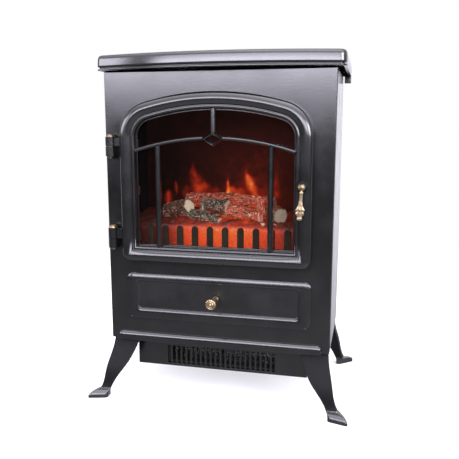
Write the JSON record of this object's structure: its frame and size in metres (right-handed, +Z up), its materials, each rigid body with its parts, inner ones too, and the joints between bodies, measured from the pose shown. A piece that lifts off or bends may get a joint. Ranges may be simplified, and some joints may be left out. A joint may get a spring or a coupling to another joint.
{
  "type": "electric fireplace",
  "caption": "Free-standing electric stove heater with a hinged arched glass door, log flame effect, drop-down controls flap, fan heater under the cabinet and splayed legs.",
  "frame": {"origin": "centre of the footprint, on the floor", "axes": "+Z up, the front of the stove faces -Y, +X is to the right of someone facing the stove"},
  "size_m": [0.414, 0.264, 0.54],
  "materials": {
    "powder_black": "fine-textured satin black powder coat",
    "cast_black": "satin black over a cast or pressed relief",
    "leg_black": "die-cast, satin black enamel",
    "antique_brass": "antiqued, darkened in the hollows",
    "steel_plain": "plain steel",
    "aluminium_plain": "satin",
    "zinc_screw": "black zinc plate",
    "glass_clear": "clear tempered glass",
    "lamp_glass": "frosted lamp glass",
    "screen_sheet": "smoked translucent acrylic",
    "mirror_sheet": "bright foil",
    "black_plastic": "fine satin",
    "rocker_plastic": "gloss black",
    "ember_resin": "translucent orange moulding, painted ash grey and black on its crests",
    "log_resin": "painted moulded resin, bark brown with pale cut ends",
    "mica": "mica board",
    "heater_wire": "oxidised resistance wire",
    "rubber_black": "matt"
  },
  "bodies": {
    "cabinet": {"front_panel": "powder_black", "side_panel_left": "powder_black", "side_panel_right": "powder_black", "back_cover": "powder_black", "lamp_cover": "powder_black", "base_pan": "steel_plain", "base_moulding": "cast_black", "lid": "cast_black", "door_magnet": "black_plastic", "cabinet_knuckles": "powder_black", "hinge_pins": "antique_brass", "flap_lugs": "powder_black", "flap_pins": "steel_plain", "control_bay": "black_plastic", "switch_cases": "black_plastic", "thermostat_body": "black_plastic", "outlet_grille": "powder_black", "outlet_housing": "powder_black", "blower_scroll": "steel_plain", "blower_motor": "steel_plain", "blower_bearing": "rubber_black", "heater_frame": "mica", "heater_coils": "heater_wire", "thermal_cutout": "steel_plain", "front_leg_left": "leg_black", "front_leg_right": "leg_black", "rear_leg_left": "leg_black", "rear_leg_right": "leg_black", "leg_screws": "zinc_screw", "firebox_liner": "powder_black", "flame_screen": "screen_sheet", "flame_reflector": "mirror_sheet", "spinner_bracket": "steel_plain", "spinner_motor": "steel_plain", "lamps": "lamp_glass", "lamp_holders": "black_plastic", "ember_bed": "ember_resin", "log_set": "log_resin", "grate": "cast_black", "cable_inlet": "black_plastic", "terminal_block": "black_plastic", "cover_screws": "zinc_screw"},
    "door": {"door_frame": "cast_black", "door_grille": "cast_black", "door_glass": "glass_clear", "glass_clips": "steel_plain", "strike_plate": "steel_plain", "door_knuckles": "powder_black", "handle_boss": "cast_black", "handle_stud": "antique_brass", "handle_pin": "antique_brass"},
    "handle_pendant": {"handle_pendant": "antique_brass"},
    "flap": {"controls_flap": "cast_black", "flap_knob": "antique_brass"},
    "rocker_flame": {"rocker_flame": "rocker_plastic"},
    "rocker_low_heat": {"rocker_low_heat": "rocker_plastic"},
    "rocker_high_heat": {"rocker_high_heat": "rocker_plastic"},
    "thermostat_dial": {"thermostat_knob": "black_plastic"},
    "spinner": {"flame_spinner": "aluminium_plain"},
    "blower": {"blower_drum": "aluminium_plain"}
  },
  "joints": [
    {"name": "door_hinge", "type": "hinge", "parent": "cabinet", "child": "door", "pos_m": [-0.163, -0.102, 0.33], "axis": [0, 0, -1], "range_deg": [0, 110]},
    {"name": "handle_swing", "type": "hinge", "parent": "door", "child": "handle_pendant", "pos_m": [0.132, -0.12694, 0.35], "axis": [-1, 0, 0], "range_deg": [0, 75]},
    {"name": "flap_hinge", "type": "hinge", "parent": "cabinet", "child": "flap", "pos_m": [0, -0.09445, 0.13405], "axis": [1, 0, 0], "range_deg": [0, 90]},
    {"name": "rocker_flame_tilt", "type": "hinge", "parent": "cabinet", "child": "rocker_flame", "pos_m": [-0.088, -0.062, 0.17], "axis": [1, 0, 0], "range_deg": [0, 20]},
    {"name": "rocker_low_heat_tilt", "type": "hinge", "parent": "cabinet", "child": "rocker_low_heat", "pos_m": [-0.058, -0.062, 0.17], "axis": [1, 0, 0], "range_deg": [0, 20]},
    {"name": "rocker_high_heat_tilt", "type": "hinge", "parent": "cabinet", "child": "rocker_high_heat", "pos_m": [-0.028, -0.062, 0.17], "axis": [1, 0, 0], "range_deg": [0, 20]},
    {"name": "thermostat_turn", "type": "hinge", "parent": "cabinet", "child": "thermostat_dial", "pos_m": [0.066, -0.072, 0.17], "axis": [0, -1, 0], "range_deg": [-270, 0]},
    {"name": "spinner_turn", "type": "hinge", "parent": "cabinet", "child": "spinner", "pos_m": [0, 0.058, 0.268], "axis": [1, 0, 0], "continuous": true},
    {"name": "blower_turn", "type": "hinge", "parent": "cabinet", "child": "blower", "pos_m": [0, -0.004, 0.071], "axis": [1, 0, 0], "continuous": true}
  ]
}
